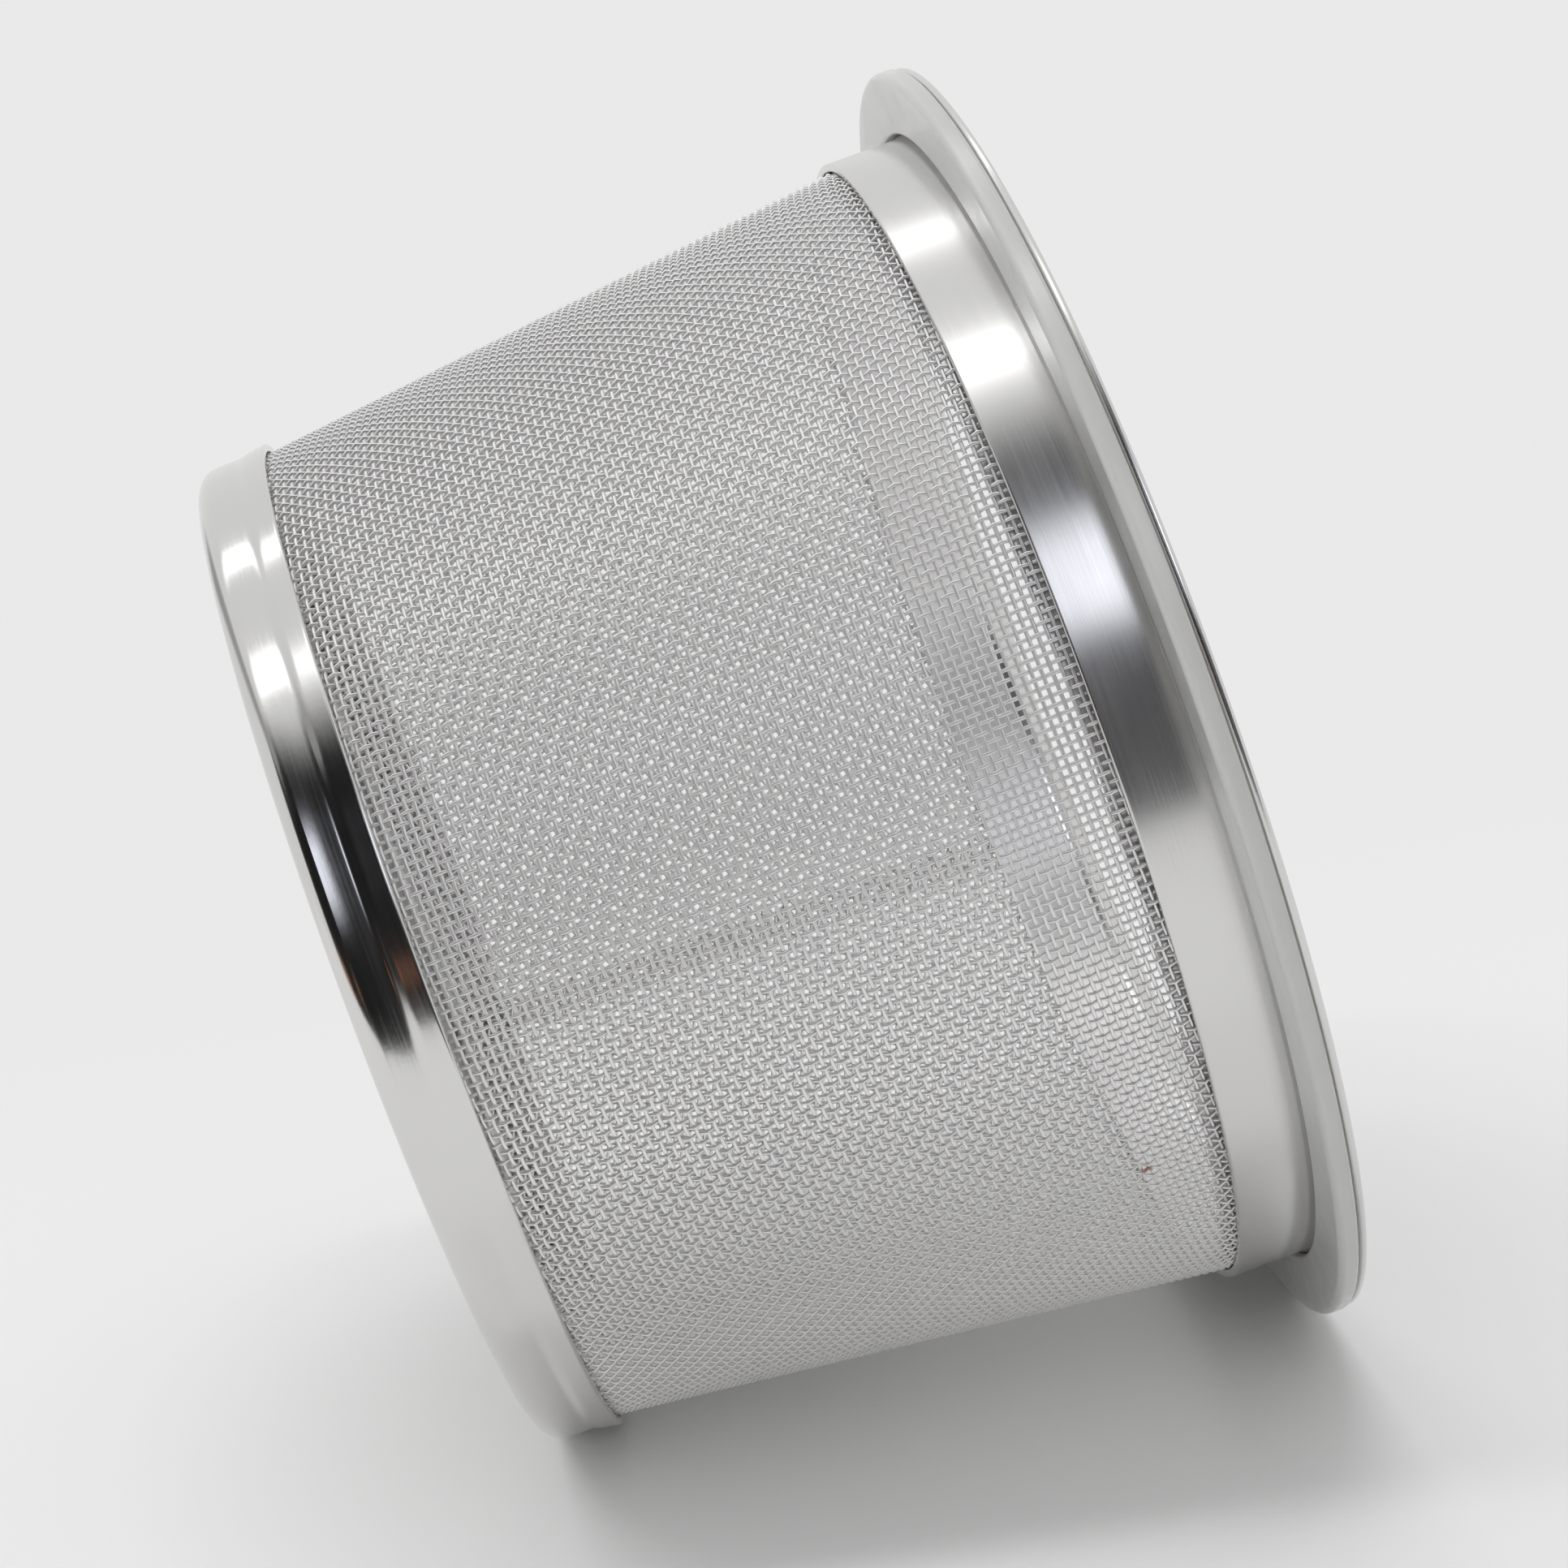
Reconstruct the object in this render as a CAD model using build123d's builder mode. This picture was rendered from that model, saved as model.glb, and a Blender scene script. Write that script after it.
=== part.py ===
from build123d import *
import os
from math import cos, hypot, radians, sin

# Grinder sifter basket, millimetres, +Z towards the open mouth.
# The basket stands on its closed cap, with the origin at the middle of the cap's flat face.

# Sheet, cloth and fits
sheet = 0.4              # drawn stainless sheet of the cap, the collar and the clamp ring
wire = 0.16              # wire of the woven cloth, so the cloth is two wires thick
fit_gap = 0.05           # clearance between rings that sit inside each other

# Bottom cap, a shallow pressed cup
cap_radius = 25.6        # outside of the cap's wall
cap_height = 3.7         # flat face to the edge of the lip
cap_shoulder = 0.9       # outside radius between the flat face and the wall
lip_flare = 0.3          # how far the lip turns outwards
lip_height = 0.6         # length of the wall that turns outwards
lip_play = 0.1           # room between the lip's edge and the cloth

# Tapered sleeve of woven cloth
sleeve_length = 30.4     # cloth that shows between the cap's lip and the collar
tuck_bottom = 2.75       # cloth hidden in the cap, below the lip's edge
tuck_top = 3.2           # cloth hidden in the collar, above the collar's edge
ridge = 0.06             # height of the upright ridges on both sides, which stand for the weave
ridge_width = 1.0        # width of a ridge
gap_rows = 5             # rows of openings in the wall
gap_columns = 24         # openings in one row, with a ridge between each two
gap_height = 4.8         # height of one opening
gap_share = 0.68         # part of a row that is open
seam_angle = 76.7        # where the cloth laps over itself, degrees round from +X
seam_width = 2.0         # width of the lap

# Collar, a drawn ring with a flange at the mouth
collar_radius = 29.5     # outside of the collar's band
collar_band = 3.6        # straight part of the band
flange_turn = 1.0        # outside radius between the band and the flange
flange_width = 3.2       # outside of the band to the flange's edge

# Clamp ring inside the collar, which pinches the cloth
clamp_show = 0.6         # how far its lower edge hangs below the collar's edge
clamp_height = 4.0

# Silicone seal under the flange
seal_thickness = 1.0
seal_overhang = 0.1      # how far the seal stands out past the flange
seal_play = 0.25         # room between the seal and the collar's band
seal_round = 0.12        # rounding of the seal's outer edges

# Heights and radii that follow from them
cloth = 2 * wire
collar_edge = cap_height + sleeve_length
flange_radius = collar_radius + flange_width
flange_under = collar_edge + collar_band + flange_turn
mouth = flange_under + sheet
seal_radius = flange_radius + seal_overhang
tuck_radius_bottom = cap_radius - sheet - fit_gap
lip_radius = cap_radius - sheet + lip_flare - lip_play
tuck_radius_top = collar_radius - sheet - fit_gap
taper = (tuck_radius_top - lip_radius) / sleeve_length
clamp_edge = collar_edge - clamp_show
clamp_radius = tuck_radius_top - cloth - fit_gap - taper * clamp_show
slope_length = hypot(1, taper) * (clamp_edge - cap_height)
lap_depth = 1.5 * cloth      # the lap's second layer, sunk halfway into the first
window_reach = 3 * cloth     # how far the openings' cutters reach past the wall


def cloth_radius(height):
    """Outside of the cloth at a height on the tapered part."""
    return lip_radius + taper * (height - cap_height)


def on_cloth(angle, depth):
    """Plane at a depth under the cloth's outside: x round the wall, y up the slope, z outwards."""
    height = (cap_height + clamp_edge) / 2
    radius = cloth_radius(height) - depth
    across = Vector(-sin(radians(angle)), cos(radians(angle)), 0)
    slope = Vector(taper * cos(radians(angle)), taper * sin(radians(angle)), 1).normalized()
    place = Vector(radius * cos(radians(angle)), radius * sin(radians(angle)), height)
    return Plane(origin=place, x_dir=across, z_dir=across.cross(slope))


# Bottom cap: flat face, round shoulder, wall and a lip that flares at the cloth
with BuildPart() as bottom_cap:
    with BuildSketch(Plane.XZ):
        with BuildLine():
            inner_shoulder = max(cap_shoulder - sheet, sheet / 4)
            wall_inside = cap_radius - sheet
            Line((0, 0), (cap_radius - cap_shoulder, 0))
            RadiusArc((cap_radius - cap_shoulder, 0), (cap_radius, cap_shoulder), -cap_shoulder)
            Line((cap_radius, cap_shoulder), (cap_radius, cap_height - lip_height))
            Line((cap_radius, cap_height - lip_height), (cap_radius + lip_flare, cap_height))
            Line((cap_radius + lip_flare, cap_height), (wall_inside + lip_flare, cap_height))
            Line((wall_inside + lip_flare, cap_height), (wall_inside, cap_height - lip_height))
            Line((wall_inside, cap_height - lip_height), (wall_inside, sheet + inner_shoulder))
            RadiusArc(
                (wall_inside, sheet + inner_shoulder), (wall_inside - inner_shoulder, sheet), inner_shoulder
            )
            Line((wall_inside - inner_shoulder, sheet), (0, sheet))
            Line((0, sheet), (0, 0))
        make_face()
    revolve(axis=Axis.Z)

# Mesh sleeve: a wall of cloth with upright ridges, a lapped seam and rows of openings
with BuildPart() as mesh_sleeve:
    row_pitch = (clamp_edge - cap_height) / gap_rows
    row_heights = [cap_height + row_pitch * (row + 0.5) for row in range(gap_rows)]
    column_step = 360 / gap_columns
    column_angles = [seam_angle + column * column_step for column in range(gap_columns)]
    with BuildSketch(Plane.XZ):
        Polygon(
            (tuck_radius_bottom, cap_height - tuck_bottom),
            (tuck_radius_bottom, cap_height - lip_height),
            (lip_radius - ridge, cap_height),
            (tuck_radius_top - ridge, collar_edge),
            (tuck_radius_top, collar_edge),
            (tuck_radius_top, collar_edge + tuck_top),
            (tuck_radius_top - cloth, collar_edge + tuck_top),
            (tuck_radius_top - cloth, collar_edge),
            (tuck_radius_top - cloth + ridge, collar_edge),
            (lip_radius - cloth + ridge, cap_height),
            (tuck_radius_bottom - cloth, cap_height - lip_height),
            (tuck_radius_bottom - cloth, cap_height - tuck_bottom),
            align=None,
        )
    revolve(axis=Axis.Z)
    with BuildSketch(*[on_cloth(angle, cloth) for angle in column_angles]):
        Rectangle(ridge_width, slope_length)
    extrude(amount=cloth)
    with BuildSketch(on_cloth(seam_angle, 2 * cloth)):
        Rectangle(seam_width, slope_length - 2 * fit_gap)
    extrude(amount=lap_depth)
    gap_angle = column_step * gap_share
    gap_starts = [angle + (column_step - gap_angle) / 2 for angle in column_angles]
    wall_middle = (lip_radius + tuck_radius_top) / 2
    wall_spread = tuck_radius_top - lip_radius + 2 * window_reach
    with BuildSketch(*[Plane.XZ.rotated((0, 0, angle)) for angle in gap_starts]):
        with Locations(*[(wall_middle, height) for height in row_heights]):
            Rectangle(wall_spread, gap_height)
    revolve(axis=Axis.Z, revolution_arc=gap_angle, mode=Mode.SUBTRACT)

# Collar: straight band, then a small turn into the flange round the mouth
with BuildPart() as collar:
    with BuildSketch(Plane.XZ):
        with BuildLine():
            band_top = collar_edge + collar_band
            band_inside = collar_radius - sheet
            turn_inside = flange_turn + sheet
            Line((band_inside, collar_edge), (collar_radius, collar_edge))
            Line((collar_radius, collar_edge), (collar_radius, band_top))
            RadiusArc((collar_radius, band_top), (collar_radius + flange_turn, flange_under), flange_turn)
            Line((collar_radius + flange_turn, flange_under), (flange_radius, flange_under))
            Line((flange_radius, flange_under), (flange_radius, mouth))
            Line((flange_radius, mouth), (band_inside + turn_inside, mouth))
            RadiusArc((band_inside + turn_inside, mouth), (band_inside, band_top), -turn_inside)
            Line((band_inside, band_top), (band_inside, collar_edge))
        make_face()
    revolve(axis=Axis.Z)

# Clamp ring: a plain band inside the cloth, its lower edge just below the collar
with BuildPart() as clamp_ring:
    with BuildSketch(Plane.XZ):
        with Locations((clamp_radius - sheet, clamp_edge)):
            Rectangle(sheet, clamp_height, align=(Align.MIN, Align.MIN))
    revolve(axis=Axis.Z)

# Seal ring: flat silicone washer that lies against the flange and clears its turn
with BuildPart() as seal_ring:
    seal_inside = collar_radius + seal_play
    seal_face = flange_under - seal_thickness
    turn_end = collar_radius + flange_turn + 2 * fit_gap
    with BuildSketch(Plane.XZ) as seal_section:
        Polygon(
            (seal_inside, seal_face),
            (seal_radius, seal_face),
            (seal_radius, flange_under),
            (turn_end, flange_under),
            (seal_inside, flange_under - flange_turn / 2),
            align=None,
        )
        fillet(seal_section.vertices().group_by(Axis.X)[-1], seal_round)
    revolve(axis=Axis.Z)

bottom_cap.part.label = "bottom_cap"
mesh_sleeve.part.label = "mesh_sleeve"
collar.part.label = "collar"
clamp_ring.part.label = "clamp_ring"
seal_ring.part.label = "seal_ring"

os.makedirs("parts", exist_ok=True)
export_step(bottom_cap.part, "parts/bottom_cap.step")
export_step(mesh_sleeve.part, "parts/mesh_sleeve.step")
export_step(collar.part, "parts/collar.step")
export_step(clamp_ring.part, "parts/clamp_ring.step")
export_step(seal_ring.part, "parts/seal_ring.step")
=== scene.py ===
# %% [markdown]
# # A sifter basket of woven wire
#
# The real object is a small sieve from a herb or spice grinder. A cone of fine steel wire cloth stands in a
# shallow pressed cap, and a polished collar with a flange holds the cloth at the open mouth. A milky silicone
# washer lies under the flange. The basket stands on its cap here, so the picture, in which it lies on its
# side, comes from a camera that is rolled over.
#
# All lengths are in metres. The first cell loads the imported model, which says where every piece belongs.

import math

import bmesh
import bpy
import numpy as np
from mathutils import Matrix, Vector


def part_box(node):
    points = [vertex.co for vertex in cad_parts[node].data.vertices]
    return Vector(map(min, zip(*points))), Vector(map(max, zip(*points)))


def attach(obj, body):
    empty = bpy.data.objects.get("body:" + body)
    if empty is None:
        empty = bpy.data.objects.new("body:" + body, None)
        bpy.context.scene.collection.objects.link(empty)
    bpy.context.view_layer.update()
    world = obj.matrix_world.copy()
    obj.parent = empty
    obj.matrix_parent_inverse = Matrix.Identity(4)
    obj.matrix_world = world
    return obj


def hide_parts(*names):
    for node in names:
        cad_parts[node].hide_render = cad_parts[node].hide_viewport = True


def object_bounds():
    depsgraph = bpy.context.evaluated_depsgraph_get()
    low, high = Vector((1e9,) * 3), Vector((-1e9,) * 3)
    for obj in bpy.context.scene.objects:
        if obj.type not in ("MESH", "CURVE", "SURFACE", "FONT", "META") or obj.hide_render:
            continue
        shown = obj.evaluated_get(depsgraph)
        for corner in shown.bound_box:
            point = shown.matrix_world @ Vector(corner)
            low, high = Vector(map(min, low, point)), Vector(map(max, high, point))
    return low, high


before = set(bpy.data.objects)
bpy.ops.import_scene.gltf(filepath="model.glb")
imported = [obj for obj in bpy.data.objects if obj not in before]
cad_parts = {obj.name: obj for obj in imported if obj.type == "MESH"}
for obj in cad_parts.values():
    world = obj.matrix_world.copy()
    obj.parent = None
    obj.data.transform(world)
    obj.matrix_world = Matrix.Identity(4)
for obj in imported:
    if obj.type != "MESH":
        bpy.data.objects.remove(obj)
cad_low, cad_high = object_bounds()
mm = 0.001
print("nodes", sorted(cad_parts))
print("model box in mm", [round(v / mm, 2) for v in (*cad_low, *cad_high)])

# %% [markdown]
# ## The camera
#
# The photograph was taken with a longish lens from close by, almost square to the basket's axis. The place,
# aim and roll below put the two rims of the model on the two rims in the picture. The roll is why the
# upright basket appears to lie down with its mouth to the right.

# %% Put things into the scene
def add_object(name, data):
    thing = bpy.data.objects.new(name, data)
    bpy.context.scene.collection.objects.link(thing)
    return thing


def stand(place, x_way, y_way, z_way):
    """Matrix for an object at a place, with its own axes along three directions."""
    return Matrix.Translation(place) @ Matrix((x_way, y_way, z_way)).transposed().to_4x4()


# %% Camera
camera_place = Vector((0.0, -172.53, 14.90)) * mm
camera_aim = Vector((-1.1975, 0.0, 22.0216)) * mm
camera_roll = math.radians(-69.97)

camera_data = bpy.data.cameras.new("camera")
camera_data.sensor_width = 36.0
camera_data.lens = 78.63
camera_data.clip_start = 0.01
camera_data.clip_end = 20.0
camera = add_object("camera", camera_data)
bpy.context.scene.camera = camera

looking = (camera_aim - camera_place).normalized()
level_up = (Vector((0, 0, 1)) - looking.z * looking).normalized()
level_right = looking.cross(level_up)
picture_up = math.cos(camera_roll) * level_up + math.sin(camera_roll) * level_right
picture_right = looking.cross(picture_up)
camera.matrix_world = stand(camera_place, picture_right, picture_up, -looking)
print("camera", round((camera_aim - camera_place).length / mm), "mm away")

# %% [markdown]
# ## Sizes read from the model
#
# The visible pieces are made finer than the model's own meshes, so each takes its radii and heights from the
# box of the node that it stands for. Only small things that a box can't tell, such as the sheet's thickness,
# are written here.

# %% Sizes
cap_low, cap_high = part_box("bottom_cap")
collar_low, collar_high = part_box("collar")
clamp_low, clamp_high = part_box("clamp_ring")
seal_low, seal_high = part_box("seal_ring")
sleeve_low, sleeve_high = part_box("mesh_sleeve")

sheet = 0.4 * mm            # steel of the cap, the collar and the clamp ring
lip_flare = 0.3 * mm        # how far the cap's lip turns outwards
lip_height = 0.6 * mm       # the part of the lip in which the cloth bends inwards
lip_play = 0.1 * mm         # room between the lip and the cloth
flange_width = 3.2 * mm     # from the collar's band to the flange's edge
flange_turn = 1.0 * mm      # radius of the bend between the band and the flange
seal_play = 0.25 * mm       # room between the seal and the band

cap_radius = cap_high.x - lip_flare
collar_radius = collar_high.x - flange_width
cloth_radius_low = cap_high.x - sheet - lip_play
cloth_radius_high = sleeve_high.x
print("cloth radii in mm", round(cloth_radius_low / mm, 2), round(cloth_radius_high / mm, 2))

# %% [markdown]
# ## Turning rings from an outline
#
# The cap, the collar, the clamp ring and the seal are all round, so each is an outline spun about the axis,
# just as it would be turned or spun in a workshop. A polished edge catches a thin line of light, and a
# perfectly sharp one can't, so every corner gets a small rounding. Beside each rounding lies one extra point,
# which keeps the flat stretch next to it looking flat when the mesh is shaded smooth.

# %% Outline with rounded corners
def rounded(corners, pieces=6, keep_flat=0.02 * mm):
    """Points of a closed outline. Each corner is (radius from the axis, height, rounding)."""
    points = []
    for k, (x, z, rounding) in enumerate(corners):
        here = np.array((x, z))
        if rounding == 0:
            points.append(here)
            continue
        before = np.array(corners[k - 1][:2]) - here
        after = np.array(corners[(k + 1) % len(corners)][:2]) - here
        to_before = before / np.linalg.norm(before)
        to_after = after / np.linalg.norm(after)
        half = math.acos(np.clip(to_before @ to_after, -1, 1)) / 2
        reach = rounding / math.tan(half)
        middle = to_before + to_after
        centre = here + middle / np.linalg.norm(middle) * rounding / math.sin(half)
        first = here + to_before * reach - centre
        last = here + to_after * reach - centre
        sweep = math.atan2(first[0] * last[1] - first[1] * last[0], first @ last)
        points.append(here + to_before * (reach + keep_flat))
        for angle in np.linspace(0, sweep, pieces + 1):
            c, s = math.cos(angle), math.sin(angle)
            spoke = np.array((c * first[0] - s * first[1], s * first[0] + c * first[1]))
            points.append(centre + spoke)
        points.append(here + to_after * (reach + keep_flat))
    return np.array(points)


# %% Spin an outline
same_place = 0.0005 * mm


def merge_and_face_out(mesh):
    """Joins the points that meet on the axis, turns all faces outwards and shades them smooth."""
    work = bmesh.new()
    work.from_mesh(mesh)
    bmesh.ops.remove_doubles(work, verts=work.verts, dist=same_place)
    bmesh.ops.recalc_face_normals(work, faces=work.faces)
    for face in work.faces:
        face.smooth = True
    work.to_mesh(mesh)
    work.free()


def spun(name, outline, node, steps=288):
    """Ring made by spinning a closed outline, which stands for one node of the model."""
    count = len(outline)
    angles = np.arange(steps) * 2 * math.pi / steps
    x = outline[:, 0] * np.cos(angles)[:, None]
    y = outline[:, 0] * np.sin(angles)[:, None]
    z = np.broadcast_to(outline[:, 1], x.shape)
    points = np.stack((x, y, z), axis=-1).reshape(-1, 3)
    step, place = np.meshgrid(np.arange(steps), np.arange(count), indexing="ij")
    next_step, next_place = (step + 1) % steps, (place + 1) % count
    faces = np.stack((
        step * count + place,
        next_step * count + place,
        next_step * count + next_place,
        step * count + next_place,
    ), axis=-1).reshape(-1, 4)
    mesh = bpy.data.meshes.new(name)
    mesh.from_pydata(points.tolist(), [], faces.tolist())
    mesh.validate()
    merge_and_face_out(mesh)
    ring = add_object(name, mesh)
    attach(ring, "root")
    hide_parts(node)
    print(name, sum(len(face.vertices) - 2 for face in mesh.polygons), "triangles")
    return ring


# %% [markdown]
# ## The cap
#
# The real cap is pressed from one round of steel sheet. It is a shallow cup with a round shoulder. Its wall
# leans out a little low down, and above a soft valley it flares into the lip that takes the cloth. A plain
# cylinder with a bevel would be quicker, but polished steel shows every change of slope: the valley and the
# lean are what give the cap its bands of reflections. So they are corners of the outline here, with large
# roundings.

# %% Cap
shoulder = 1.0 * mm
inner_shoulder = 0.5 * mm
wall_lean = 0.1 * mm
lean_end = cap_low.z + 1.4 * mm
lean_bend = 10.0 * mm
valley_start = cap_high.z - 1.4 * mm
valley_end = cap_high.z - 1.0 * mm
valley_width = 0.43 * lip_flare
valley_bend = 0.9 * mm
lip_bend = 1.5 * mm
lip_edge = 0.14 * mm
cap = spun("cap_shell", rounded([
    (0.0, cap_low.z, 0),
    (cap_radius - wall_lean, cap_low.z, shoulder),
    (cap_radius, lean_end, lean_bend),
    (cap_radius, valley_start, valley_bend),
    (cap_radius + valley_width, valley_end, lip_bend),
    (cap_radius + lip_flare, cap_high.z, lip_edge),
    (cap_radius + lip_flare - sheet, cap_high.z, lip_edge),
    (cap_radius + valley_width - sheet, valley_end, valley_bend),
    (cap_radius - sheet, valley_start, valley_bend),
    (cap_radius - sheet, cap_low.z + sheet, inner_shoulder),
    (0.0, cap_low.z + sheet, 0),
]), "bottom_cap")

# %% [markdown]
# ## The collar and the clamp ring
#
# The collar is a straight band that turns through a small radius into a thin flange at the mouth. The clamp
# ring is a plain hoop inside the cloth. Only its lower edge shows, as a dark line through the last rows of
# the weave, but without it one would look straight through the cloth there.

# %% Collar
band_edge = 0.12 * mm
flange_edge = 0.18 * mm
collar = spun("collar_shell", rounded([
    (collar_radius - sheet, collar_low.z, band_edge),
    (collar_radius, collar_low.z, band_edge),
    (collar_radius, collar_high.z - sheet, flange_turn),
    (collar_high.x, collar_high.z - sheet, flange_edge),
    (collar_high.x, collar_high.z, flange_edge),
    (collar_radius - sheet, collar_high.z, flange_turn + sheet),
]), "collar")

# %% Clamp ring
clamp_inner = clamp_high.x - sheet
hoop_edge = 0.1 * mm
clamp = spun("clamp_hoop", rounded([
    (clamp_inner, clamp_low.z, hoop_edge),
    (clamp_high.x, clamp_low.z, hoop_edge),
    (clamp_high.x, clamp_high.z, hoop_edge),
    (clamp_inner, clamp_high.z, hoop_edge),
]), "clamp_ring")

# %% [markdown]
# ## The seal
#
# The seal is a flat washer, cut or moulded from silicone, with soft edges. Its inner corner is sloped off to
# clear the bend of the collar. It stays a hair's breadth under the flange: where two surfaces lie in exactly
# the same place, a see-through material shows specks.

# %% Seal
hair = 0.02 * mm
seal_inner = collar_radius + seal_play
seal_slope = flange_turn / 2
slope_end = seal_inner + seal_slope + 0.35 * mm
seal_top = seal_high.z - hair
outer_edge = 0.35 * mm
plain_edge = 0.2 * mm
hidden_edge = 0.1 * mm
seal = spun("seal_washer", rounded([
    (seal_inner, seal_low.z, plain_edge),
    (seal_high.x, seal_low.z, outer_edge),
    (seal_high.x, seal_top, plain_edge),
    (slope_end, seal_top, hidden_edge),
    (seal_inner, seal_high.z - seal_slope, hidden_edge),
]), "seal_ring")

# %% [markdown]
# ## The woven wire cloth
#
# The cloth is a plain weave with about 60 wires to the inch. It was cut flat, as a sector of a ring, and then
# rolled into the cone, so its wires are straight in the flat cloth and lean more and more towards the seam
# once it is rolled. That lean is easy to see on the real basket. A texture could show a grid, but not the
# bright crowns, the see-through holes or the far wall behind them, so every wire is modelled. The first cells
# find the crossings of the wires in the flat cloth and keep those that lie inside the cut.

# %% Flat cloth
wire = 0.16 * mm
wire_surface = 0.092 * mm   # corners of the six-sided tube, a little wide because its flat sides look thin
warp_crimp = 0.7 * wire     # how far an upright wire swings to each side of the cloth's middle
weft_crimp = 0.3 * wire     # the same for a wire that runs round
warp_pitch = 0.431 * mm     # from one upright wire to the next
weft_pitch = 0.416 * mm
seam_angle = math.radians(76.7)
lap = 2.0 * mm              # how far the two ends of the cloth cover each other
tuck_top = 1.0 * mm         # cloth above the collar's lower edge, where it is hidden

taper = (cloth_radius_high - cloth_radius_low) / (collar_low.z - cap_high.z)
lean = taper / math.hypot(1, taper)
slope_rise = 1 / math.hypot(1, taper)
middle_radius = cloth_radius_low - wire
apex_to_lip = middle_radius / lean
cloth_bottom = -(cap_high.z - sleeve_low.z) / slope_rise
cloth_top = (collar_low.z - cap_high.z + tuck_top) / slope_rise
half_lap = lap / 2 / ((middle_radius + cloth_radius_high) / 2)
half_turn = math.pi + half_lap
print("cone leans", round(math.degrees(math.asin(lean)), 2), "degrees")


# %% Crossings of the flat cloth
def crossings():
    """Grid numbers of the crossings that lie in the cut cloth, and their places in it."""
    farthest = apex_to_lip + cloth_top
    nearest = (apex_to_lip + cloth_bottom) * math.cos(half_turn * lean)
    columns = np.arange(-int(farthest / warp_pitch), int(farthest / warp_pitch) + 1)
    rows = np.arange(int(nearest / weft_pitch), int(farthest / weft_pitch) + 2)
    column, row = np.meshgrid(columns, rows, indexing="ij")
    across, along = column * warp_pitch, row * weft_pitch
    on_slope = np.hypot(across, along) - apex_to_lip
    turned = np.arctan2(across, along) / lean
    inside = (on_slope > cloth_bottom) & (on_slope < cloth_top) & (np.abs(turned) < half_turn)
    return column, row, on_slope, turned, inside


# %% [markdown]
# ## Rolling the cloth
#
# A point of the flat cloth is as far from the cone's tip as it was from the middle of the ring sector, and
# its angle grows by the same share all round. That makes the rolling one short sum. Below the lip the cloth
# bends inwards to fit into the cap, and at the seam one end sinks under the other, as in a sheet that is
# lapped over itself. A modifier could bend a flat grid too, but a sum keeps every crossing where it belongs.

# %% Roll the cloth into the cone
tuck_radius = middle_radius - (cap_high.x - lip_play - cap_radius) - (warp_crimp - wire / 2)
dive_start = math.pi - 4 * half_lap     # from here one end of the cloth sinks under the other
dive_turn = 3 * half_lap
dive_depth = 2.1 * wire


def smooth_step(value):
    value = np.clip(value, 0, 1)
    return value * value * (3 - 2 * value)


def rolled(on_slope, turned, out):
    """Places on the basket of points of the flat cloth that lie out from its middle."""
    height = cap_high.z + on_slope * slope_rise
    radius = middle_radius + taper * (height - cap_high.z)
    tucked = smooth_step((cap_high.z - height) / lip_height)
    radius = np.where(height < cap_high.z, middle_radius * (1 - tucked) + tuck_radius * tucked, radius)
    radius = np.minimum(radius, cloth_radius_high - wire)
    radius = radius - dive_depth * smooth_step((turned - dive_start) / dive_turn)
    angle = seam_angle + math.pi + turned
    c, s = np.cos(angle), np.sin(angle)
    normal = np.stack((slope_rise * c, slope_rise * s, np.full_like(angle, -lean)), -1)
    place = np.stack((radius * c, radius * s, height), -1)
    return place + normal * out[..., None], normal


# %% [markdown]
# ## From points to wires
#
# Each wire passes over one crossing and under the next. A ring of six points round the wire at every crossing
# is enough, because smooth shading rounds the bend between them and the sides of the tube. There are about
# 400,000 faces, so the meshes are filled from arrays, which takes a second. Adding a curve for every wire
# would take minutes and give far more faces.

# %% Wires as tubes
def unit(vectors):
    return vectors / np.maximum(np.linalg.norm(vectors, axis=1, keepdims=True), 1e-12)


def tubes(name, points, normals, starts, sides=6):
    """One mesh of many wires. starts is true where a point begins a new wire."""
    joined = ~starts[1:]
    step = (points[1:] - points[:-1]) * joined[:, None]
    along = np.zeros_like(points)
    along[:-1] += step
    along[1:] += step
    along = unit(along)
    across = unit(np.cross(along, normals))
    up = np.cross(across, along)
    corner = (np.arange(sides) + 0.5) * 2 * math.pi / sides
    ring = np.cos(corner)[:, None] * up[:, None, :] + np.sin(corner)[:, None] * across[:, None, :]
    tube = (points[:, None, :] + ring * wire_surface).reshape(-1, 3)
    first = np.nonzero(joined)[0][:, None] * sides
    near = first + np.arange(sides)
    near_next = first + (np.arange(sides) + 1) % sides
    faces = np.stack((near, near + sides, near_next + sides, near_next), axis=-1).reshape(-1, 4)
    mesh = bpy.data.meshes.new(name)
    mesh.vertices.add(len(tube))
    mesh.vertices.foreach_set("co", tube.ravel())
    mesh.loops.add(faces.size)
    mesh.loops.foreach_set("vertex_index", faces.ravel())
    mesh.polygons.add(len(faces))
    mesh.polygons.foreach_set("loop_start", np.arange(0, faces.size, 4))
    mesh.polygons.foreach_set("use_smooth", np.ones(len(faces), dtype=bool))
    mesh.update()
    return mesh


# %% Weave
column, row, on_slope, turned, inside = crossings()
over = np.where((column + row) % 2 == 0, 1.0, -1.0)
print("crossings", int(inside.sum()))


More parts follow.
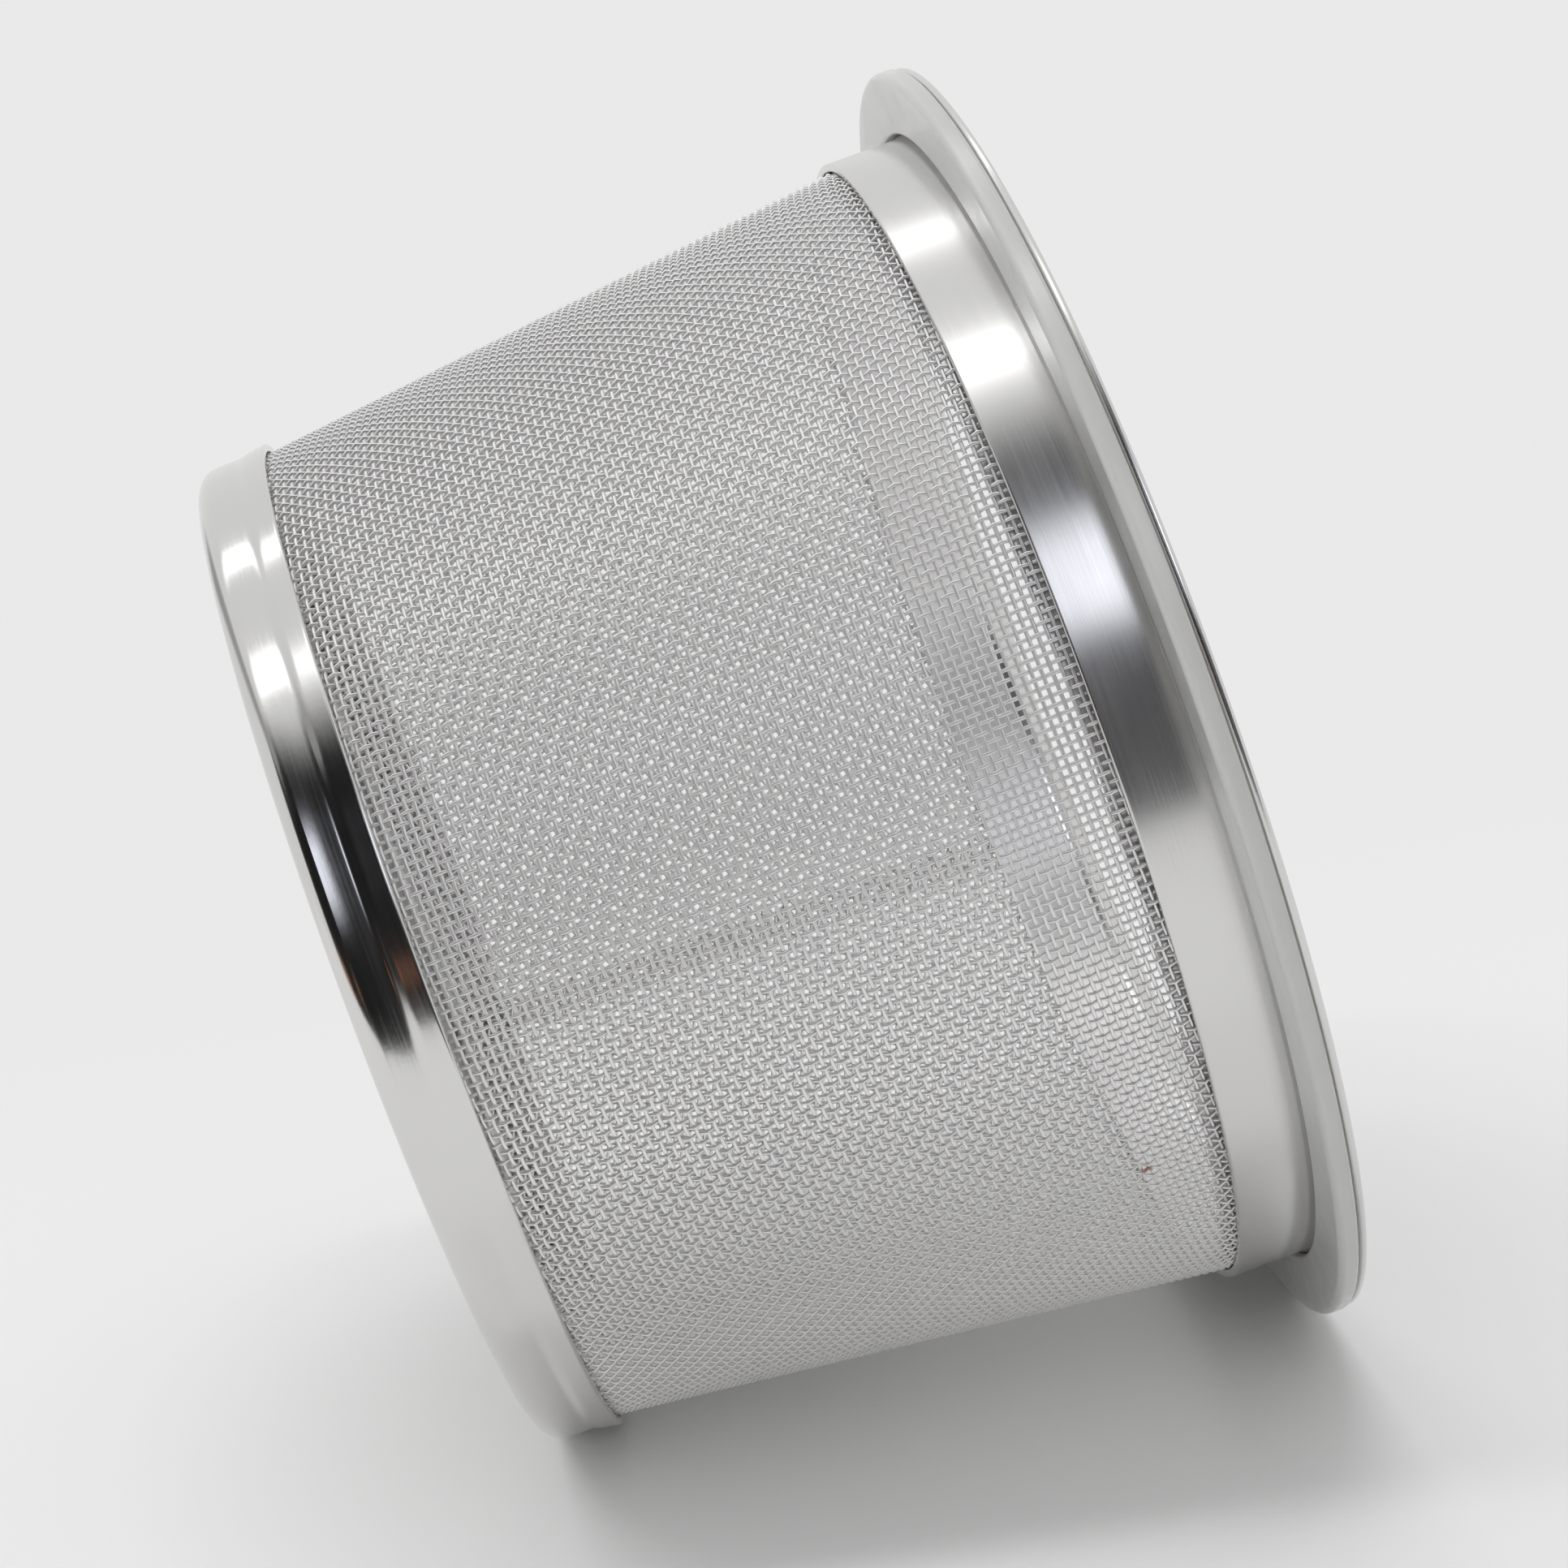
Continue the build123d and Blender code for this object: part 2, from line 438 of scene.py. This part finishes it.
def weave(name, keep, upright):
    """The wires of one direction whose crossings are kept."""
    out = over * (warp_crimp if upright else -weft_crimp)
    line, place_on_line = (column, row) if upright else (row, column)
    picked = inside & keep
    order = np.lexsort((place_on_line[picked], line[picked]))
    points, normals = rolled(on_slope[picked][order], turned[picked][order], out[picked][order])
    on_line, at = line[picked][order], place_on_line[picked][order]
    starts = np.ones(len(order), dtype=bool)
    starts[1:] = (on_line[1:] != on_line[:-1]) | (at[1:] != at[:-1] + 1)
    piece = add_object(name, tubes(name, points, normals, starts))
    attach(piece, "root")
    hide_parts("mesh_sleeve")
    print(name, len(piece.data.polygons) * 2, "triangles")
    return piece


# %% Four pieces of cloth
# The two weft pieces share a step of the weave, so that no wire is broken where they meet.
cloth_pieces = [
    weave("warp_wires_left", column < 0, True),
    weave("warp_wires_right", column >= 0, True),
    weave("weft_wires_left", column <= 0, False),
    weave("weft_wires_right", column >= -1, False),
]

# %% [markdown]
# ## Steel
#
# The rings and the wire are all stainless steel, but they don't look alike. The cap is bright polished
# outside, so it mirrors the room, and plain inside. The collar band is finely rubbed, so its reflections are
# soft, and the clamp ring and the drawn wire are duller. Each finish is one metal shader whose roughness and
# relief come from noise: lines that run round the axis, left by drawing and polishing, a slow unevenness of
# the pressed sheet, and a fine grain on the cap. Perfectly even metal would look like a drawing of metal.

# %% Helpers for shaders
def node_tree(material):
    material.use_nodes = True
    tree = material.node_tree
    return tree, tree.nodes["Principled BSDF"]


def own_place(tree):
    """Coordinates that belong to the piece itself."""
    return tree.nodes.new("ShaderNodeTexCoord").outputs["Object"]


def split_place(tree, place):
    split = tree.nodes.new("ShaderNodeSeparateXYZ")
    tree.links.new(place, split.inputs[0])
    return split.outputs


def math_node(tree, operation, first, second):
    node = tree.nodes.new("ShaderNodeMath")
    node.operation = operation
    for value, socket in ((first, node.inputs[0]), (second, node.inputs[1])):
        if isinstance(value, (int, float)):
            socket.default_value = value
        else:
            tree.links.new(value, socket)
    return node.outputs[0]


def mapped(tree, value, old, new=(0.0, 1.0), kind="LINEAR"):
    """A value carried over from one span to another."""
    node = tree.nodes.new("ShaderNodeMapRange")
    node.interpolation_type = kind
    for socket, limit in zip(("From Min", "From Max", "To Min", "To Max"), (*old, *new)):
        node.inputs[socket].default_value = limit
    tree.links.new(value, node.inputs["Value"])
    return node.outputs["Result"]


# %% Noise and relief
usual_noise = (0.3, 0.7)


def noise(tree, place, scale, detail=3.0):
    texture = tree.nodes.new("ShaderNodeTexNoise")
    texture.inputs["Scale"].default_value = scale
    texture.inputs["Detail"].default_value = detail
    tree.links.new(place, texture.inputs["Vector"])
    return texture.outputs["Fac"]


def round_the_axis(tree, turn_scale, height_scale):
    """Coordinates in which noise is drawn out into lines round the basket's axis."""
    place = split_place(tree, own_place(tree))
    angle = math_node(tree, "ARCTAN2", place["Y"], place["X"])
    join = tree.nodes.new("ShaderNodeCombineXYZ")
    tree.links.new(math_node(tree, "MULTIPLY", angle, turn_scale), join.inputs["X"])
    tree.links.new(math_node(tree, "MULTIPLY", place["Z"], height_scale), join.inputs["Y"])
    return join.outputs[0]


def relief(tree, value, height, normal=None):
    bump = tree.nodes.new("ShaderNodeBump")
    bump.inputs["Strength"].default_value = 1.0
    bump.inputs["Distance"].default_value = height
    tree.links.new(value, bump.inputs["Height"])
    if normal is not None:
        tree.links.new(normal, bump.inputs["Normal"])
    return bump.outputs["Normal"]


# %% Steel
line_scales = (3.0, 9000.0)     # along a line and across it
cloud_scale = 260.0
dent_scale = 70.0
grain_scale = 3500.0


def steel(name, colour, roughness, lines, dents, grain=0):
    """Stainless steel: roughness is its least and its most, the rest are heights."""
    material = bpy.data.materials.new(name)
    tree, shader = node_tree(material)
    shader.inputs["Metallic"].default_value = 1.0
    shader.inputs["Base Color"].default_value = (*colour, 1.0)
    rubbing = noise(tree, round_the_axis(tree, *line_scales), 1.0)
    place = own_place(tree)
    clouds = noise(tree, place, cloud_scale)
    both = math_node(tree, "MULTIPLY", math_node(tree, "ADD", clouds, rubbing), 0.5)
    tree.links.new(mapped(tree, both, usual_noise, roughness), shader.inputs["Roughness"])
    normal = relief(tree, noise(tree, place, dent_scale, 1.0), dents)
    normal = relief(tree, noise(tree, place, grain_scale), grain, normal)
    tree.links.new(relief(tree, rubbing, lines, normal), shader.inputs["Normal"])
    return material


# %% The four steels of the rings
cap_steel = steel(
    "bright_pressed_steel", (0.7, 0.695, 0.68), roughness=(0.09, 0.19),
    lines=0.0006 * mm, dents=0.02 * mm, grain=0.001 * mm,
)
inside_steel = steel(
    "unpolished_inside_steel", (0.74, 0.735, 0.72), roughness=(0.34, 0.46),
    lines=0.0008 * mm, dents=0.02 * mm,
)
collar_steel = steel(
    "rubbed_steel", (0.7, 0.695, 0.685), roughness=(0.17, 0.25),
    lines=0.0008 * mm, dents=0.01 * mm,
)
clamp_steel = steel(
    "plain_rolled_steel", (0.86, 0.85, 0.845), roughness=(0.32, 0.42),
    lines=0.0008 * mm, dents=0.01 * mm,
)

# %% Wire
wire_colour = (0.88, 0.872, 0.865, 1.0)
wire_roughness = (0.36, 0.48)
wire_steel = bpy.data.materials.new("drawn_steel_wire")
tree, shader = node_tree(wire_steel)
place = own_place(tree)
clouds = noise(tree, place, 900.0)
tree.links.new(mapped(tree, clouds, usual_noise, wire_roughness), shader.inputs["Roughness"])

# %% [markdown]
# ## A stain on the wire
#
# A crossing near the collar carries a small brown stain. It is too thin to have a shape, so it is only a
# colour: close to one place the wire stops being metal and turns brown, and a soft edge keeps it from looking
# cut out.

# %% Stain on the wire
stain_place = Vector((20.7, -19.74, 30.55)) * mm
stain_reach = 0.38 * mm
stain_core = 0.4 * stain_reach
stain_colour = (0.32, 0.19, 0.15, 1.0)
away = tree.nodes.new("ShaderNodeVectorMath")
away.operation = "DISTANCE"
tree.links.new(place, away.inputs[0])
away.inputs[1].default_value = stain_place
clean = mapped(tree, away.outputs["Value"], (stain_core, stain_reach), kind="SMOOTHSTEP")
tree.links.new(clean, shader.inputs["Metallic"])
tint = tree.nodes.new("ShaderNodeMix")
tint.data_type = "RGBA"
tint.inputs["A"].default_value = stain_colour
tint.inputs["B"].default_value = wire_colour
tree.links.new(clean, tint.inputs["Factor"])
tree.links.new(tint.outputs["Result"], shader.inputs["Base Color"])
print("stain", round(math.hypot(stain_place.x, stain_place.y) / mm, 2), "mm from the axis")

# %% [markdown]
# ## Silicone
#
# The seal is milky. Part of the light is scattered inside it and part goes through, and its skin is smooth
# enough to mirror the collar at a grazing angle. Plain white plastic would look chalky beside the steel.

# %% Silicone
silicone = bpy.data.materials.new("milky_silicone")
tree, shader = node_tree(silicone)
shader.inputs["Base Color"].default_value = (0.82, 0.817, 0.79, 1.0)
shader.inputs["Subsurface Weight"].default_value = 0.5
shader.inputs["Transmission Weight"].default_value = 0.4
shader.inputs["Subsurface Radius"].default_value = (0.0024, 0.0022, 0.0018)
shader.inputs["Subsurface Scale"].default_value = 1.0
shader.inputs["IOR"].default_value = 1.41
place = own_place(tree)
skin = mapped(tree, noise(tree, place, 500.0), usual_noise, (0.14, 0.24))
tree.links.new(skin, shader.inputs["Roughness"])
tree.links.new(relief(tree, noise(tree, place, 900.0), 0.004 * mm), shader.inputs["Normal"])

# %% [markdown]
# ## Putting the finishes on
#
# Every piece gets its finish. The cap gets two, because only its outside was polished: the faces that look
# towards the axis or upwards take the plain one, and the edge of the lip stays bright.

# %% Put the finishes on
for piece, material in (
    (cap, cap_steel),
    (collar, collar_steel),
    (clamp, clamp_steel),
    (seal, silicone),
    *((piece, wire_steel) for piece in cloth_pieces),
):
    piece.data.materials.clear()
    piece.data.materials.append(material)
    print(piece.name, "is", material.name)

# %% Inside of the cap
inward_share = 0.3      # how squarely a face has to look inwards or upwards
bright_rim = 0.15 * mm  # height of the lip's edge
cap.data.materials.append(inside_steel)
for face in cap.data.polygons:
    outward = face.normal.x * face.center.x + face.normal.y * face.center.y
    faces_in = outward < -inward_share * face.center.xy.length or face.normal.z > inward_share
    face.material_index = int(faces_in and face.center.z <= cap_high.z - bright_rim)
print("faces inside the cap", sum(face.material_index for face in cap.data.polygons))

# %% [markdown]
# ## The table
#
# In the photograph the basket lies on a white sheet, touching it with the rim of the seal and the lip of the
# cap, and the camera looks down on it. So the floor here is a plane through those two touching points. It is
# seen from its front only, so it hides nothing when the basket is looked at from below.

# %% Table
touch_angle = math.radians(16)
touch_direction = Vector((math.cos(touch_angle), math.sin(touch_angle), 0))
low_touch = touch_direction * cap_high.x + Vector((0, 0, cap_high.z))
high_touch = touch_direction * seal_high.x + Vector((0, 0, seal_high.z))
rim_to_rim = (high_touch - low_touch).normalized()
table_up = (-touch_direction - (-touch_direction).dot(rim_to_rim) * rim_to_rim).normalized()
table_across = rim_to_rim.cross(table_up)
print("camera looks down by", round(math.degrees(math.asin(-looking.dot(table_up)))), "degrees")


def flat_mesh(name, left, right, near, far):
    """Rectangle with its sides at these distances from its own middle."""
    mesh = bpy.data.meshes.new(name)
    corners = [(left, near, 0), (right, near, 0), (right, far, 0), (left, far, 0)]
    mesh.from_pydata(corners, [], [(0, 1, 2, 3)])
    return mesh


table_size = 1.6
front_edge = 0.3
table_mesh = flat_mesh("table", -table_size, table_size, -table_size, front_edge)
table = add_object("table", table_mesh)
table.matrix_world = stand(low_touch, rim_to_rim, table_across, table_up)

# %% [markdown]
# ## Paper and room
#
# Behind the basket the paper fades into the backdrop, as a sweep of paper does in a studio. A curved sheet
# would do it too, but it would cast and catch light of its own. Here a ray that only looks, from the camera
# or off a mirror, sees an even white behind the basket, and a ray that carries light meets real paper. The
# room is white in the same way, and looks a little brighter than the light that it gives.

# %% Rays that look at the background
pale = 0.82         # the paper's own colour
shown = 0.82        # how bright the backdrop and the room look
ambient = 0.7       # how much light the room gives


def looks(tree):
    """1 for rays from the camera, from a mirror or through something clear, and 0 for scattered light."""
    path = tree.nodes.new("ShaderNodeLightPath").outputs
    first = math_node(tree, "MAXIMUM", path["Is Camera Ray"], path["Is Glossy Ray"])
    return math_node(tree, "MAXIMUM", first, path["Is Transmission Ray"])


def mixed(tree, factor, first, second):
    node = tree.nodes.new("ShaderNodeMixShader")
    tree.links.new(factor, node.inputs["Fac"])
    tree.links.new(first, node.inputs[1])
    tree.links.new(second, node.inputs[2])
    return node.outputs[0]


def clear(tree):
    return tree.nodes.new("ShaderNodeBsdfTransparent").outputs[0]


def glow(tree, colour, strength=1.0):
    node = tree.nodes.new("ShaderNodeEmission")
    node.inputs["Color"].default_value = (*colour, 1.0)
    node.inputs["Strength"].default_value = strength
    return node.outputs[0]


# %% Paper
fade_length = 0.08
paper = bpy.data.materials.new("white_paper")
tree, shader = node_tree(paper)
shader.inputs["Base Color"].default_value = (pale, pale, pale, 1.0)
shader.inputs["Roughness"].default_value = 0.9
shader.inputs["Specular IOR Level"].default_value = 0.0
place = split_place(tree, own_place(tree))
behind = mapped(tree, place["Y"], (0.0, -fade_length), kind="SMOOTHSTEP")
faded = math_node(tree, "MULTIPLY", behind, looks(tree))
swept = mixed(tree, faded, shader.outputs[0], glow(tree, (1.0, 1.0, 1.0), shown))
under = tree.nodes.new("ShaderNodeNewGeometry").outputs["Backfacing"]
one_sided = mixed(tree, under, swept, clear(tree))
tree.links.new(one_sided, tree.nodes["Material Output"].inputs["Surface"])
table_mesh.materials.append(paper)
print("the table's Y points at the camera", [round(v, 2) for v in table_across])

# %% World
world = bpy.data.worlds.new("white_room")
bpy.context.scene.world = world
world.use_nodes = True
tree = world.node_tree
room = tree.nodes["Background"]
room.inputs["Color"].default_value = (1.0, 1.0, 1.0, 1.0)
level = mapped(tree, looks(tree), (0.0, 1.0), (ambient, shown))
tree.links.new(level, room.inputs["Strength"])
print("the room gives", ambient, "and shows", shown)

# %% [markdown]
# ## The lamps
#
# The light comes from two soft boxes above the basket as it lies on the table, one overhead and one a little
# farther back. Every lamp and card stands on a ball round the basket and faces it. Azimuth and elevation say
# where, and width and height are degrees as seen from the basket. Mirrors don't see the lamps, so the light
# and the reflections can be set apart.

# %% Soft boxes
centre = Vector((0, 0, (cad_low.z + cad_high.z) / 2))


def aimed(azimuth, elevation, distance):
    """Matrix of a flat thing round the basket that faces it, upright along the basket's axis."""
    a, e = math.radians(azimuth), math.radians(elevation)
    away = Vector((math.cos(a) * math.cos(e), math.sin(a) * math.cos(e), math.sin(e)))
    turn = away.to_track_quat("Z", "Y").to_matrix().to_4x4()
    return Matrix.Translation(centre + away * distance) @ turn


def half_size(distance, degrees):
    return distance * math.tan(math.radians(degrees) / 2)


def soft_box(name, azimuth, elevation, distance, width, height, brightness):
    """Area lamp for the light itself."""
    data = bpy.data.lights.new(name, "AREA")
    data.shape = "RECTANGLE"
    data.size = 2 * half_size(distance, width)
    data.size_y = 2 * half_size(distance, height)
    data.energy = brightness * math.pi * data.size * data.size_y
    lamp = add_object(name, data)
    lamp.matrix_world = aimed(azimuth, elevation, distance)
    lamp.visible_camera = False
    lamp.visible_glossy = False
    print(name, round(data.size / mm), "by", round(data.size_y / mm), "mm")


# %% [markdown]
# ## The cards
#
# Polished steel looks like steel only when it has something to mirror, so photographers stand white and black
# cards round it. These are seen by mirrors only: a soft glow in front of each box, a dim card beyond the cap,
# a cool glow for the collar, and the dark room behind the camera, with a window and two warm spots in it. A
# nearer card hides the ones behind it. The white surroundings fill the rest.

# %% Cards
def soft_mask(tree, x, y, soft):
    """1 in the middle, fading to 0 at the sides over two shares of the size, across and along."""
    place = split_place(tree, own_place(tree))
    fades = []
    for axis, half, share in (("X", x, soft[0]), ("Y", y, soft[1])):
        off_centre = math_node(tree, "ABSOLUTE", place[axis], 0)
        fades.append(mapped(tree, off_centre, (half, half * (1 - share)), kind="SMOOTHSTEP"))
    return math_node(tree, "MULTIPLY", *fades)


def card(name, azimuth, elevation, distance, width, height, colour, soft):
    """Card that only mirrors see."""
    x, y = half_size(distance, width), half_size(distance, height)
    mesh = flat_mesh(name, -x, x, -y, y)
    piece = add_object(name, mesh)
    piece.matrix_world = aimed(azimuth, elevation, distance)
    material = bpy.data.materials.new(name)
    tree, shader = node_tree(material)
    tree.nodes.remove(shader)
    faded = mixed(tree, soft_mask(tree, x, y, soft), clear(tree), glow(tree, colour))
    tree.links.new(faded, tree.nodes["Material Output"].inputs["Surface"])
    mesh.materials.append(material)
    piece.visible_camera = False
    piece.visible_diffuse = False
    piece.visible_shadow = False
    piece.visible_transmission = False


# %% Light the basket
# Azimuth, elevation, distance, width, height, brightness
soft_box("far_lamp", 167, 0, 2.0, 11, 50, 2.6)
soft_box("overhead_lamp", -161, 0, 2.0, 8, 50, 7.4)

# Azimuth, elevation, distance, width, height, colour, soft shares
card("far_glow", 168, 0, 0.5, 12, 54, (2.75, 2.75, 2.75), (1.0, 0.6))
card("overhead_glow", -157, 0, 0.5, 15, 56, (2.95, 2.95, 2.95), (1.0, 0.6))
card("dim_low", 172, -45, 0.55, 104, 18, (0.38, 0.38, 0.38), (0.5, 0.7))
card("cool_glow", -111, 19, 0.45, 28, 30, (2.2, 2.25, 2.45), (0.65, 0.6))
card("dark_room_low", -100, -29, 0.6, 96, 64, (0.012, 0.012, 0.012), (0.45, 0.15))
card("dark_room_high", -99, 20, 0.6, 98, 38, (0.085, 0.085, 0.09), (0.4, 0.15))
card("window_glow", -111, -14, 0.55, 28, 9, (1.5, 1.55, 1.75), (0.8, 0.9))
card("warm_glow_low", -86, -52, 0.55, 12, 13, (0.42, 0.18, 0.1), (0.6, 0.6))
card("warm_glow_high", -85, -27, 0.55, 8, 7, (0.36, 0.16, 0.09), (0.8, 0.8))

# %% [markdown]
# ## Last settings
#
# The Standard view shows the colours as they are computed, so whites stay white and steel stays grey.

# %% Colour management
bpy.context.scene.view_settings.view_transform = "Standard"
